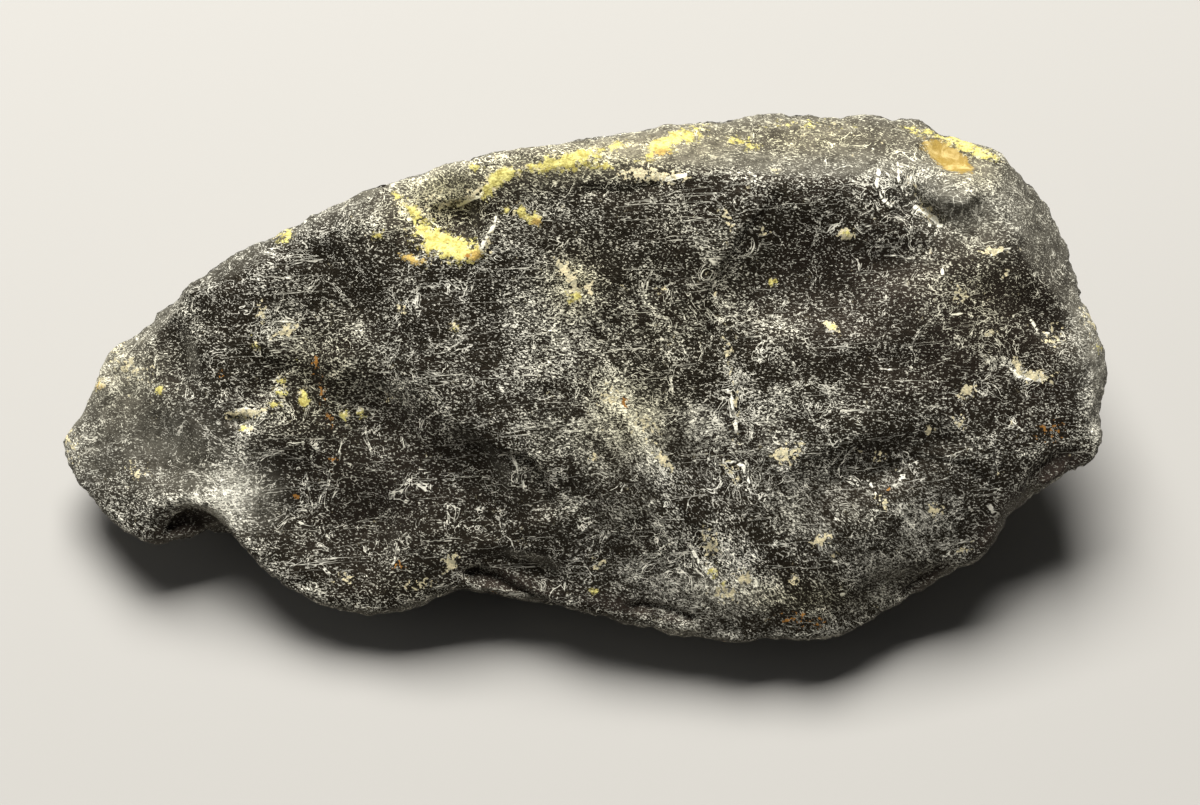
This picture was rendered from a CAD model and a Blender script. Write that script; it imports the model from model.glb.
# %% [markdown]
# # A tektite: black natural glass with an etched skin
#
# A tektite is glass that a meteorite impact melted out of the ground and threw through the air. This one is
# a blocky piece of the layered kind. It broke as glass breaks, in flat faces and dish-shaped flakes, and
# then lay in soil for a very long time. Soil water etched its skin to a fine grain of short pale marks, and
# clay dried in its hollows.
#
# The stone's form, in metres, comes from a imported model. This lesson takes that form, gives it a much finer
# skin, works small relief into the skin, marks where frost and clay lie, and makes one material that reads
# those marks.

import math

import bmesh
import bpy
import numpy as np
from mathutils import Matrix, Vector, noise


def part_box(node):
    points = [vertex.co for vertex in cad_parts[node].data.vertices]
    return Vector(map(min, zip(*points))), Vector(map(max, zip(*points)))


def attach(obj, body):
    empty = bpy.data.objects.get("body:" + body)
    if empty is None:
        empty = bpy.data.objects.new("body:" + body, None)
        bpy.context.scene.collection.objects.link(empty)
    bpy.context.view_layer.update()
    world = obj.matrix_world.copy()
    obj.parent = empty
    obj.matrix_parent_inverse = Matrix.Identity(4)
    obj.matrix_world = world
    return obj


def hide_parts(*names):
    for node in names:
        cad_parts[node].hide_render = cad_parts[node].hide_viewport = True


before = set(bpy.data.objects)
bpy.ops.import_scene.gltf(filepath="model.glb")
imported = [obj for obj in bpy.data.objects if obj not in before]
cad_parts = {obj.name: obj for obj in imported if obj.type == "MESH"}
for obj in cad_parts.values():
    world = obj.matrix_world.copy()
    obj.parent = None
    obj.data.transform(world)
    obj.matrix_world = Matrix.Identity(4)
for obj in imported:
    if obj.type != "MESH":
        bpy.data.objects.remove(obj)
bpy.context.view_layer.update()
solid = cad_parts["tektite"]
low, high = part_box("tektite")
MM = 0.001
print("solid, mm:", [round(side / MM, 1) for side in high - low])

# %% [markdown]
# ## The view
#
# The stone lies on its underside and is looked down on, square to its broad face. That face leans back, so
# the camera stands 60 degrees above the table. Where it aims is worked out, not guessed: the solid's points
# are projected, the middle of what is seen is found, and the middle of the view moves there, a few times
# over because perspective shifts a little with each move.

# %% Find the middle of the view
CAMERA_HEIGHT = math.radians(60.0)
CAMERA_DISTANCE = 283 * MM
AIMING_ROUNDS = 6

sight = Matrix.Rotation(math.pi / 2 - CAMERA_HEIGHT, 3, "X")
rightward, upward, outward = (np.array(sight.col[i]) for i in range(3))
solid_points = np.array([vertex.co for vertex in solid.data.vertices])


def as_seen(points, middle):
    """Points in the plane through the stone's middle, as the camera sees them: right, up and out, metres."""
    away = points - middle
    out = away @ outward
    shrink = CAMERA_DISTANCE / (CAMERA_DISTANCE - out)
    return np.stack((away @ rightward * shrink, away @ upward * shrink, out), axis=1)


middle = np.array(((low.x + high.x) / 2, (low.y + high.y) / 2, (low.z + high.z) / 2))
for _ in range(AIMING_ROUNDS):
    seen = as_seen(solid_points, middle)
    centre = (seen.min(0) + seen.max(0)) / 2
    middle = middle + rightward * centre[0] + upward * centre[1]
print("middle of the view, mm:", (middle / MM).round(2))

# %% [markdown]
# ## The camera
#
# A long lens from 28 cm keeps the near and far ends in proportion. Its focal length follows from how much
# of the table the picture's width should cover. The stone's middle sits a little left of and above the
# picture's.

# %% Camera
SENSOR = 36.0  # mm
PICTURE_WIDTH = 120 * MM
OFF_CENTRE = (-1.4 * MM, 2.4 * MM)  # where the stone's middle sits, right of and above the picture's

lens = bpy.data.cameras.new("camera")
lens.sensor_width = SENSOR
lens.lens = SENSOR * CAMERA_DISTANCE / PICTURE_WIDTH
lens.clip_start = 0.01
camera = bpy.data.objects.new("camera", lens)
bpy.context.scene.collection.objects.link(camera)
camera.rotation_euler = sight.to_euler()
aim = middle - rightward * OFF_CENTRE[0] - upward * OFF_CENTRE[1]
camera.location = aim + outward * CAMERA_DISTANCE
bpy.context.scene.camera = camera
print("lens, mm:", round(lens.lens, 1))

# %% [markdown]
# ## A finer skin
#
# The solid has a few thousand flat triangles, loose from each other. A copy is merged into one sheet, and a
# voxel remesh turns it into small even quads, because relief can only be pushed into a mesh that has points
# everywhere. Subdividing the triangles would be simpler, but it keeps their uneven sizes. A few smoothing
# passes then melt the facets away, and still leave the ridges and the rims of the flakes.

# %% Copy, remesh and smooth
SKIN_QUAD = 0.405 * MM
FACET_MELTING_PASSES = 5

sheet = bmesh.new()
sheet.from_mesh(solid.data)
bmesh.ops.remove_doubles(sheet, verts=sheet.verts, dist=1e-6)
rough_mesh = bpy.data.meshes.new("rough_skin")
sheet.to_mesh(rough_mesh)
sheet.free()
rough = bpy.data.objects.new("rough_skin", rough_mesh)
bpy.context.scene.collection.objects.link(rough)
even = rough.modifiers.new("even_quads", "REMESH")
even.mode = "VOXEL"
even.voxel_size = SKIN_QUAD

skin = bmesh.new()
remeshed = rough.evaluated_get(bpy.context.evaluated_depsgraph_get())
skin.from_mesh(remeshed.to_mesh())
bpy.data.objects.remove(rough)
for _ in range(FACET_MELTING_PASSES):
    bmesh.ops.smooth_vert(
        skin, verts=skin.verts, factor=0.5, use_axis_x=True, use_axis_y=True, use_axis_z=True
    )
mesh = bpy.data.meshes.new("tektite_skin")
skin.to_mesh(mesh)
skin.free()
print("skin quads:", len(mesh.polygons))

# %% [markdown]
# ## The plan of the broad face
#
# Hollows, clay and frost sit at known places, so the script needs a map. The map is the stone as the camera
# sees it: u to the right and v upward, in millimetres from the middle of the view. Every point of the skin
# gets its u and v, and a number for how squarely it faces the camera, so that marks meant for the broad
# face don't run through to the back. A UV map would serve for colour, but it can't be drawn on in
# millimetres.

# %% Plan of the skin
count = len(mesh.vertices)
skin_points = np.empty(count * 3)
mesh.vertices.foreach_get("co", skin_points)
skin_points = skin_points.reshape(-1, 3)
skin_normals = np.empty(count * 3)
mesh.vertex_normals.foreach_get("vector", skin_normals)
skin_normals = skin_normals.reshape(-1, 3)
plan = as_seen(skin_points, middle)[:, :2] / MM


def smooth_step(start, end, value):
    """0 before start, 1 after end, and a soft rise between them. It falls where start is the larger."""
    t = np.clip((value - start) / (end - start), 0, 1)
    return t * t * (3 - 2 * t)


facing = smooth_step(0.02, 0.3, skin_normals @ outward)
back = 1 - facing
print("share of the skin that faces the camera:", round(float((facing > 0.5).mean()), 2))

# %% [markdown]
# ## Noise on the skin
#
# Neither etching nor dirt is even, so every mark is broken up by noise. The noise is read at the skin's own
# points in space, so it runs round the edges without a seam. Each use has its own seed, which only moves it
# to another place. A texture in the material could do the same for colour, but heights have to be known
# here, where the points move.

# %% Noise fields
SEED_SHIFT = 17.3  # noise cells between one seed and the next
OCTAVES = 3  # each octave adds detail half as large


def noise_field(size, seed, stretch=(1, 1, 1)):
    """Fractal noise from about -1 to 1 at every point of the skin; size is in millimetres."""
    scaled = skin_points / MM / size * np.array(stretch) + seed * SEED_SHIFT
    return np.array([noise.fractal(Vector(p), 1.0, 2.0, OCTAVES) for p in scaled])


def banded_noise(length, width, bearing, seed):
    """Noise drawn out along a bearing on the plan, as flow bands run in the glass; sizes in millimetres."""
    cosine = math.cos(math.radians(bearing))
    sine = math.sin(math.radians(bearing))
    along = (plan[:, 0] * cosine + plan[:, 1] * sine) / length
    across = (plan[:, 1] * cosine - plan[:, 0] * sine) / width
    depth = skin_points @ outward / MM / length
    rows = np.stack((along, across, depth), axis=1) + seed * SEED_SHIFT
    return np.array([noise.fractal(Vector(p), 1.0, 2.0, OCTAVES) for p in rows])


grain_noise = noise_field(size=5.0, seed=11)
fine_noise = noise_field(size=1.6, seed=12)
print("grain noise:", grain_noise.min().round(2), "to", grain_noise.max().round(2))

# %% [markdown]
# ## Hollow or proud
#
# Clay gathers in hollows and wear polishes edges, so each point needs to know which it is. The mesh is
# averaged with its neighbours many times over: where the average lies outside the skin, the point is in a
# hollow, and where it lies inside, the point is on an edge.

# %% Hollowness of the skin
AVERAGING_PASSES = 60  # reaches about 3 mm

edges = np.empty(len(mesh.edges) * 2, dtype=np.int64)
mesh.edges.foreach_get("vertices", edges)
edges = edges.reshape(-1, 2)
neighbours = np.bincount(edges.ravel(), minlength=count)[:, None]


def averaged(values, passes):
    """The values after each point has taken the average of its neighbours this many times."""
    for _ in range(passes):
        total = np.zeros_like(values)
        for column in range(values.shape[1]):
            total[:, column] = np.bincount(edges[:, 0], values[edges[:, 1], column], count)
            total[:, column] += np.bincount(edges[:, 1], values[edges[:, 0], column], count)
        values = total / neighbours
    return values


def hollowness(points, normals, passes):
    """How far, in millimetres, each point lies under the average of the skin around it."""
    return ((averaged(points, passes) - points) * normals).sum(1) / MM


broad_hollow = hollowness(skin_points, skin_normals, AVERAGING_PASSES)
print("hollowness, mm:", broad_hollow.min().round(2), "to", broad_hollow.max().round(2))

# %% [markdown]
# ## Marks as soft eggs
#
# Most features of the skin are blots with no hard edge: a polished patch, a spot of clay, a frosted area.
# Each is a soft egg on the plan, with its middle, its two sizes, its turn and its strength. Eggs are quick
# to add up and easy to move, and noise breaks their smooth edges later.

# %% Soft eggs on the plan
EGG_FADE = 1.4  # leaves an egg a quarter of its strength at its outline


def marks(spots):
    """Adds up soft eggs on the plan: (u, v, length, width, turn, strength), in millimetres and degrees."""
    total = np.zeros(count)
    for u, v, length, width, turn, strength in spots:
        away = plan - np.array((u, v))
        cosine = math.cos(math.radians(turn))
        sine = math.sin(math.radians(turn))
        along = (away[:, 0] * cosine + away[:, 1] * sine) / (length / 2)
        across = (away[:, 1] * cosine - away[:, 0] * sine) / (width / 2)
        total += strength * np.exp(-EGG_FADE * (along**2 + across**2))
    return total * facing


POLISHED = (
    (-41.6, -6.8, 12.0, 5.0, -5, 0.8),
    (-18.4, -12.0, 18.0, 13.0, -20, 0.5),
    (-8.0, -12.6, 8.0, 9.0, -40, 0.6),
    (36.6, 22.2, 5.5, 3.0, -25, 1.0),
    (47.4, -9.2, 6.6, 3.4, 30, 1.0),
    (39.6, 18.4, 8.0, 5.0, -20, 0.5),
    (26.0, 9.0, 16.0, 14.0, 0, 0.4),
    (-38.2, -14.6, 6.6, 2.8, -12, 1.0),
)
polish = marks(POLISHED)
print("polished share of the skin:", round(float((polish > 0.5).mean()), 3))

# %% [markdown]
# ## Orange peel, nicked edges and pits
#
# Etching leaves a skin like orange peel: low swells with sharp creases between them. It is deepest in
# hollows and on edges, and weak where the glass is still smooth. Thin edges are nicked, and small round
# pits mark where bubbles broke through. Each is a height in millimetres, and they are added up before
# anything moves. Boolean cuts could carve nicks and pits, but heights are quicker and can fade out softly,
# as real ones do.

# %% Orange peel and nicks
LEAST_PEEL = 0.45
EXTRA_PEEL = 0.75  # in hollows and on edges
SWELL_HEIGHT = 0.07  # heights and depths are in millimetres
GRAIN_HEIGHT = 0.06
CREASE_DEPTH = 0.12
EDGE_NICK_DEPTH = 0.3
RIM_SWELL_HEIGHT = 0.28
WIDE_NICK_DEPTH = 0.35
SMALL_NICK_DEPTH = 0.3


def tell_relief(what):
    """Prints how deep and how high the relief is so far."""
    print(f"relief with {what}, mm: {relief.min():.2f} to {relief.max():.2f}")


square_on = np.abs(skin_normals @ outward)  # 0 on the rim of the stone as seen, 1 square to the view
rim = smooth_step(0.35, 0.0, square_on)
edge = smooth_step(0.12, 0.5, -broad_hollow)
peel = LEAST_PEEL + EXTRA_PEEL * smooth_step(0.05, 0.4, np.abs(broad_hollow))
peel *= np.clip(1 - polish, 0.15, 1)
swells_and_creases = (
    SWELL_HEIGHT * noise_field(size=2.8, seed=1)
    + GRAIN_HEIGHT * noise_field(size=1.2, seed=2)
    - CREASE_DEPTH * np.abs(noise_field(size=1.8, seed=3))
)
relief = peel * swells_and_creases
relief -= edge * EDGE_NICK_DEPTH * smooth_step(0.1, 0.7, noise_field(size=2.2, seed=4))
relief += smooth_step(0.6, 0.2, square_on) * RIM_SWELL_HEIGHT * noise_field(size=2.3, seed=10)
wide_nicks = WIDE_NICK_DEPTH * smooth_step(0.0, 0.5, noise_field(size=3.0, seed=5))
small_nicks = SMALL_NICK_DEPTH * smooth_step(0.0, 0.4, noise_field(size=1.7, seed=7))
relief -= rim * (wide_nicks + small_nicks)
tell_relief("peel and nicks")

# %% Pits
PIT_SPACING = 3.4
PIT_DEPTH = 0.22
PIT_EDGE = (0.26, 0.08)  # in spacings from the pit's middle: where its wall starts, and where its floor does

pit_seeds = [noise.voronoi(Vector(p))[0][0] for p in skin_points / MM / PIT_SPACING]
pits = smooth_step(*PIT_EDGE, np.array(pit_seeds))
pits *= smooth_step(0.0, 0.4, noise_field(size=9.0, seed=6))
relief -= PIT_DEPTH * pits
print("pitted share of the skin:", round(float((pits > 0.5).mean()), 3))

# %% [markdown]
# ## Lumpy ends
#
# Both ends, and a few spots between, are crumbled rather than flaked: rounded lumps with small gaps. The
# lumps are noise folded at zero, which gives round tops and sharp valleys.

# %% Lumps
LUMPY = (
    (-47.8, 1.2, 6.0, 8.0, 20, 0.9),
    (-50.0, -7.0, 4.0, 9.0, 10, 0.6),
    (-46.0, -11.4, 8.0, 4.0, -30, 0.6),
    (50.4, 6.0, 4.0, 14.0, 10, 0.8),
    (47.0, 13.0, 6.0, 5.0, -40, 0.6),
    (37.0, -4.6, 6.0, 4.0, -30, 0.5),
    (44.6, 0.2, 5.0, 4.0, 0, 0.6),
    (-17.4, 15.0, 7.0, 7.0, -30, 0.5),
    (14.0, -20.6, 9.0, 4.0, -10, 0.5),
)

LUMP_HEIGHT = 0.5
GAP_DEPTH = 0.3

gaps = GAP_DEPTH * smooth_step(0.1, 0.4, noise_field(size=1.4, seed=9))
lumps = LUMP_HEIGHT * np.abs(noise_field(size=2.0, seed=8)) - gaps
relief += marks(LUMPY) * lumps
tell_relief("lumps")

# %% [markdown]
# ## Ledges and grooves
#
# Where a flake came off, its far edge left a ledge: the skin drops along a line and climbs back more
# gently. Grooves are furrows that etching followed along old cracks, and a groove turned over is a small
# ridge. Both need the distance to a line drawn on the plan, so that comes first.

# %% Distance to a line
def along_line(line):
    """Distance to a line drawn on the plan, the side it lies on (1 is left) and how far along, 0 to 1."""
    line = np.array(line, float)
    nearest = np.full(count, np.inf)
    side = np.ones(count)
    run = np.zeros(count)
    lengths = np.linalg.norm(np.diff(line, axis=0), axis=1)
    before = 0.0
    for start, end, length in zip(line[:-1], line[1:], lengths):
        direction = (end - start) / length
        away = plan - start
        t = np.clip(away @ direction, 0, length)
        gap = np.linalg.norm(away - t[:, None] * direction, axis=1)
        closer = gap < nearest
        nearest[closer] = gap[closer]
        turned = direction[0] * away[:, 1] - direction[1] * away[:, 0]
        side[closer] = np.where(turned[closer] > 0, 1, -1)
        run[closer] = (before + t[closer]) / lengths.sum()
        before += length
    return nearest, side, run


print("points in the plan:", len(plan))

# %% Ledges
def ledge(line, drop, reach):
    """A step along the line: the skin on its right falls by drop and climbs back over reach."""
    gap, side, run = along_line(line)
    fade = smooth_step(0, 0.15, run) * smooth_step(0, 0.15, 1 - run)
    fall = smooth_step(-0.25, 0.35, -side * gap) * np.exp(-((gap / reach) ** 2))
    return -drop * fall * fade * facing


LEDGES = (
    ([(-12.8, -6.6), (-10.6, -6.1), (-9.1, -7.3), (-6.6, -7.7), (-5.1, -8.3), (-3.6, -11.2),
      (-2.6, -14.2)], 0.7, 3.2),
    ([(15.2, -7.4), (14.9, -0.2), (12.4, 4.4), (12.6, 9.5), (16.0, 15.0), (20.5, 20.0)], 0.35, 4.0),
    ([(27.6, -9.6), (33.0, -7.6), (38.4, -8.4), (41.2, -11.2)], 0.3, 2.6),
    ([(-33.2, 3.0), (-29.6, 0.8), (-34.6, -5.4), (-35.1, -9.0), (-33.4, -14.4)], 0.35, 3.0),
    ([(-1.0, 19.4), (4.0, 19.0), (9.8, 20.4)], 0.25, 1.6),
    ([(30.8, 23.8), (32.2, 20.6), (33.4, 17.4), (37.2, 14.8)], 0.45, 2.2),
    ([(43.4, -12.4), (44.2, -10.0), (45.9, -8.2), (47.6, -7.2), (50.3, -6.8)], 0.45, 2.6),
    ([(-42.2, -16.4), (-41.9, -14.7), (-41.2, -13.9), (-39.6, -13.1), (-38.4, -13.4),
      (-36.6, -14.5), (-34.9, -16.0)], 1.3, 1.8),
    ([(-12.6, -20.3), (-12.1, -19.2), (-10.6, -18.8), (-8.6, -19.5), (-6.6, -20.8), (-4.6, -21.9),
      (-2.6, -22.6)], 1.2, 1.9),
    ([(3.6, -22.6), (5.6, -22.3), (7.6, -22.6), (9.4, -23.1), (11.6, -24.2)], 0.7, 1.2),
    ([(31.2, -21.6), (33.2, -19.8), (34.8, -18.9), (37.0, -18.0)], 0.6, 1.3),
)

relief += sum(ledge(*one) for one in LEDGES)
tell_relief(f"{len(LEDGES)} ledges")

# %% Grooves and small ridges
def groove(line, depth, width):
    """A narrow furrow along the line. A negative depth makes a ridge."""
    gap, _, run = along_line(line)
    fade = smooth_step(0, 0.12, run) * smooth_step(0, 0.12, 1 - run)
    return -depth * np.exp(-((gap / width) ** 2)) * fade * facing


GROOVES = (
    ([(32.6, 22.2), (32.4, 19.6), (33.2, 17.6), (35.2, 16.0), (36.8, 15.0)], 0.9, 0.5),
    ([(33.8, 22.0), (33.9, 19.8), (35.0, 18.2), (37.4, 17.4), (39.4, 19.0)], -0.45, 0.7),
    ([(29.1, 19.6), (29.6, 18.0), (30.9, 16.7), (32.6, 15.8)], 0.22, 0.4),
    ([(30.9, 21.8), (31.2, 19.8), (32.0, 18.2)], 0.2, 0.4),
    ([(14.2, 2.2), (14.9, -2.8), (15.2, -5.8)], -0.2, 0.4),
    ([(-11.4, 11.6), (-10.4, 13.4), (-9.2, 15.8)], -0.3, 0.4),
    ([(-16.8, 15.6), (-14.6, 17.8), (-10.4, 18.4)], -0.2, 0.5),
    ([(6.0, -10.8), (10.6, -15.4), (13.6, -19.6)], 0.18, 0.7),
    ([(17.4, -7.4), (20.2, -12.6), (22.4, -18.6)], 0.16, 0.7),
    ([(9.0, -8.6), (13.4, -13.8), (17.4, -20.4)], -0.14, 0.6),
    ([(-36.2, -4.0), (-35.0, -4.3), (-33.2, -4.4)], 0.8, 0.5),
    ([(-33.0, 13.2), (-29.6, 12.6)], 0.2, 0.5),
)

relief += sum(groove(*one) for one in GROOVES)
tell_relief(f"{len(GROOVES)} grooves")

# %% [markdown]
# ## Ripples
#
# A shock through breaking glass leaves rings round the point that was hit, like those of a stone in water.
# Only a part of each ring is kept, so each set is a wedge: its centre, its inner and outer reach, the
# spacing and height of its rings, and the bearing and half angle of the wedge.

# %% Rings of broken glass
def ripples(centre, reach, spacing, height, bearing, spread):
    """Rings round a centre, as a shock leaves in breaking glass, within a wedge of bearings in degrees."""
    away = plan - np.array(centre)
    distance = np.linalg.norm(away, axis=1)
    angle = np.degrees(np.arctan2(away[:, 1], away[:, 0]))
    off = np.abs((angle - bearing + 180) % 360 - 180)
    wedge = smooth_step(spread, spread * 0.6, off)
    ring = smooth_step(reach[0] - 0.6, reach[0] + 0.6, distance)
    ring = ring * smooth_step(reach[1] + 0.8, reach[1] - 0.8, distance)
    return height * np.sin(2 * math.pi * distance / spacing) * wedge * ring * facing


RIPPLES = (
    ((34.6, 22.8), (5.0, 9.6), 1.3, 0.09, -128, 34),
    ((-7.0, -9.0), (3.0, 8.5), 1.5, 0.05, -140, 50),
    ((45.0, -7.0), (1.5, 5.0), 1.1, 0.06, -30, 70),
    ((-20.0, 4.0), (4.0, 12.0), 2.1, 0.045, 200, 70),
)

relief += sum(ripples(*one) for one in RIPPLES)
tell_relief(f"{len(RIPPLES)} sets of ripples")

# %% [markdown]
# ## Sunk patches
#
# Two scars have a floor and a wall, so a soft egg is the wrong shape for them. Each has a drawn outline,
# and the skin inside it sinks over the width of the wall. Whether a point is inside is found by counting
# how often a ray to its right crosses the outline.

# %% Scars with an outline
def inside(outline):
    """True for points of the plan inside a closed outline."""
    crossings = np.zeros(count, dtype=np.int64)
    for (u0, v0), (u1, v1) in zip(outline, outline[1:] + outline[:1]):
        spans = (plan[:, 1] < v0) != (plan[:, 1] < v1)
        reach = u0 + (plan[:, 1] - v0) * (u1 - u0) / (v1 - v0 + 1e-12)
        crossings += spans & (plan[:, 0] < reach)
    return crossings % 2 == 1


def scar(outline, depth, wall):
    """A flat-floored hollow: the skin inside the outline sinks by depth, over a wall this wide."""
    gap, _, _ = along_line(outline + outline[:1])
    return -depth * smooth_step(0, wall, np.where(inside(outline), gap, 0)) * facing


SCARS = (
    ([(-16.8, 15.0), (-15.8, 17.1), (-13.6, 17.7), (-10.8, 17.9), (-9.3, 17.2), (-9.1, 15.6),
      (-10.6, 12.8), (-11.3, 11.6), (-13.6, 11.6), (-15.8, 13.2)], 0.3, 1.3),
    ([(33.0, 23.9), (36.2, 24.0), (39.8, 21.4), (37.0, 20.2), (34.6, 21.6)], 0.25, 1.0),
)

relief += sum(scar(*one) for one in SCARS)
tell_relief(f"{len(SCARS)} scars")

# %% [markdown]
# ## Where the glass is etched
#
# From here on the marks are for the material, which reads them as attributes of the mesh. The pale etched
# marks are the look of this stone, and their density changes all over it: dense on worn swells, thin in
# hollows and on fresh breaks, and banded where the glass has flow bands. "frost" is that density, from 0
# for bare glass to 1 for a solid bloom. It starts from soft eggs of more and less, and noise and bands join
# them.

# %% Frost
FROSTY = (
    (-48.0, 0.0, 9.0, 12.0, 20, 0.15),
    (-51.0, -6.0, 6.0, 9.0, 0, 0.15),
    (-46.0, -10.0, 9.0, 6.0, -30, 0.1),
    (-42.0, 6.0, 16.0, 6.0, 40, 0.05),
    (-35.6, -12.0, 7.0, 6.5, -20, 0.9),
    (-34.4, -6.2, 3.0, 5.6, -20, 0.6),
    (4.4, -3.6, 10.0, 11.0, -30, 0.38),
    (-2.6, 4.0, 14.0, 10.0, -50, 0.25),
    (-1.0, 9.8, 9.0, 8.0, -40, 0.2),
    (9.0, -10.0, 9.0, 5.0, -45, 0.25),
    (13.6, -17.0, 12.0, 4.0, -50, 0.4),
    (14.4, -21.0, 9.0, 4.0, -10, 0.4),
    (5.0, -20.0, 8.0, 4.0, -10, 0.15),
    (22.0, -14.0, 14.0, 2.6, -60, 0.25),
    (34.4, -14.4, 6.0, 6.0, 40, 0.3),
    (37.4, -4.8, 5.0, 3.0, -50, 0.25),
    (49.4, 6.4, 5.0, 15.0, 10, 0.35),
    (50.8, -3.4, 3.0, 5.0, 0, 0.4),
    (39.6, 17.4, 10.0, 6.0, -20, 0.1),
    (43.0, 14.6, 6.0, 8.0, 30, 0.15),
    (24.0, -1.8, 14.0, 3.0, 4, 0.22),
    (18.6, -1.6, 8.0, 6.0, 0, 0.2),
    (13.6, 0.0, 4.0, 12.0, 10, 0.25),
    (12.0, 18.6, 20.0, 5.0, 4, 0.03),
    (-15.0, 19.4, 14.0, 5.0, 20, 0.2),
    (2.0, 22.4, 26.0, 4.0, 10, 0.15),
    (22.0, 24.0, 22.0, 4.0, 0, 0.0),
    (-30.0, 12.0, 10.0, 3.0, 20, 0.25),
    (-31.0, 5.0, 6.0, 3.6, 20, 0.25),
    (-27.6, -20.6, 14.0, 2.4, -25, 0.05),
    (9.0, -13.0, 18.0, 5.0, -54, 0.18),
)
CLEAN = (
    (45.8, 8.6, 6.0, 9.0, 12, 0.5),
    (22.0, 0.0, 12.0, 8.0, 0, 0.2),
    (14.0, -15.0, 14.0, 9.0, -30, 0.15),
    (-18.0, -12.0, 20.0, 14.0, -10, 0.3),
    (-24.0, -20.0, 18.0, 6.0, -20, 0.15),
    (-43.6, -6.8, 12.0, 8.0, 10, 0.4),
    (-25.0, 10.6, 13.0, 7.0, -10, 0.3),
    (-18.4, -13.0, 20.0, 13.0, -20, 0.35),
    (-7.6, -14.0, 8.0, 10.0, -40, 0.35),
    (26.0, 12.6, 14.0, 10.0, 0, 0.4),
    (38.0, 2.0, 22.0, 14.0, 0, 0.15),
    (19.0, 16.0, 6.0, 10.0, -30, 0.25),
    (30.4, 1.4, 15.0, 6.0, 0, 0.25),
    (27.6, -7.6, 9.0, 4.0, 10, 0.3),
    (43.6, 9.2, 5.0, 8.0, 20, 0.4),
    (44.0, 3.6, 8.0, 3.0, 0, 0.2),
    (13.4, -9.2, 5.0, 7.0, 20, 0.3),
    (11.4, 0.0, 3.4, 9.0, 10, 0.25),
    (-41.6, -6.8, 13.0, 7.0, -5, 0.6),
    (-38.4, 2.4, 10.0, 7.0, 10, 0.2),
    (4.0, 18.0, 10.0, 3.0, 0, 0.15),
    (-26.0, -8.0, 10.0, 9.0, -30, 0.15),
    (-27.0, -1.0, 8.0, 7.0, -30, 0.1),
    (-13.0, 16.0, 6.0, 2.4, 5, 0.5),
    (30.6, 17.6, 4.0, 7.0, 0, 0.2),
    (36.0, 19.0, 3.0, 2.0, -30, 0.3),
)
BANDED = (
    (8.0, 0.0, 40.0, 26.0, -50, 1.0),
    (16.0, -18.0, 28.0, 18.0, -20, 1.0),
    (32.0, -12.0, 20.0, 16.0, 20, 0.8),
)

# How much each part adds to the frost
FROST_EVERYWHERE = 0.14
FINE_PART = 0.12
GRAIN_PART = 0.26
STREAK_PART = 0.25
WIDE_BAND_PART = 0.42
NARROW_BAND_PART = 0.4
EDGE_PART = 0.15
HOLLOW_PART = 0.1
BANDED_LOSS = 0.6  # the share of grain and streaks that gives way to bands

streaks = noise_field(size=2.4, seed=13, stretch=(0.55, 1.3, 1.3))
pit = smooth_step(0.1, 0.45, broad_hollow)
wide_bands = banded_noise(length=13.0, width=3.2, bearing=-56, seed=21)
narrow_bands = banded_noise(length=6.0, width=1.2, bearing=-54, seed=22)
banded = np.clip(marks(BANDED), 0, 1)
frost = FROST_EVERYWHERE + marks(FROSTY) - marks(CLEAN) + FINE_PART * fine_noise
frost += (1 - BANDED_LOSS * banded) * (GRAIN_PART * grain_noise + STREAK_PART * streaks)
frost += banded * (WIDE_BAND_PART * wide_bands + NARROW_BAND_PART * narrow_bands)
frost += EDGE_PART * smooth_step(0.15, 0.5, -broad_hollow) - HOLLOW_PART * pit
print("mean frost:", round(float(frost.mean()), 2))

# %% [markdown]
# ## Bare chips and brown glass
#
# A few fresh chips on the rims are hardly etched, and over some wide areas the skin is thin. There the
# glass shows its own colour, which is brown rather than black, so one attribute serves for both. The marks
# also change their lie: they run level over most of the face and slant down to the right on its lower part.

# %% Bare and slanted areas
THIN_SKIN = (
    (41.0, 6.0, 24.0, 22.0, 0, 0.36),
    (26.0, 8.0, 18.0, 16.0, 0, 0.26),
    (-20.0, -11.0, 22.0, 16.0, -10, 0.26),
    (47.4, -9.2, 6.6, 3.4, 30, 1.2),
    (43.0, -12.6, 4.4, 3.2, 45, 0.9),
    (40.6, -15.4, 4.4, 3.2, 55, 0.9),
    (34.6, -20.4, 5.8, 2.4, 32, 1.0),
    (-38.6, -15.1, 7.8, 3.8, -12, 1.3),
    (-41.2, -16.8, 8.0, 1.8, -8, 0.9),
    (-7.8, -20.6, 9.0, 3.0, -14, 1.2),
    (3.0, -22.6, 8.0, 2.0, -14, 0.8),
    (8.4, -24.0, 6.0, 1.2, -14, 0.7),
)
SLANTED = (
    (16.0, -18.0, 28.0, 16.0, -20, 1.2),
    (8.0, -9.0, 16.0, 10.0, -40, 0.6),
    (30.0, -14.0, 14.0, 12.0, 30, 0.8),
)
BARE_LOSS = 0.85  # the share of the frost that a bare chip loses
BEVEL_LOSS = 0.18
BACK_LOSS = 0.12

bare = marks(THIN_SKIN)
slanted = marks(SLANTED)
frost *= np.clip(1 - BARE_LOSS * bare, 0.1, 1)
bevel = smooth_step(0.86, 0.6, skin_normals @ outward) * facing
frost -= BEVEL_LOSS * bevel + BACK_LOSS * back
print("mean frost, without chips, bevel and back:", round(float(frost.mean()), 2))

# %% [markdown]
# ## Veil, veins and fibres
#
# Three finer things lie between the marks. The veil is an even grey bloom, where etching has run together,
# as on the left end, the bevel and part of the back. Veins are thin curly lines that the material draws by
# itself, thicker where "veined" says so. Fibres are the longer white threads at known places, such as the
# arcs round the scoop and the loose tangles, so they are lines on the plan.

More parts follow.
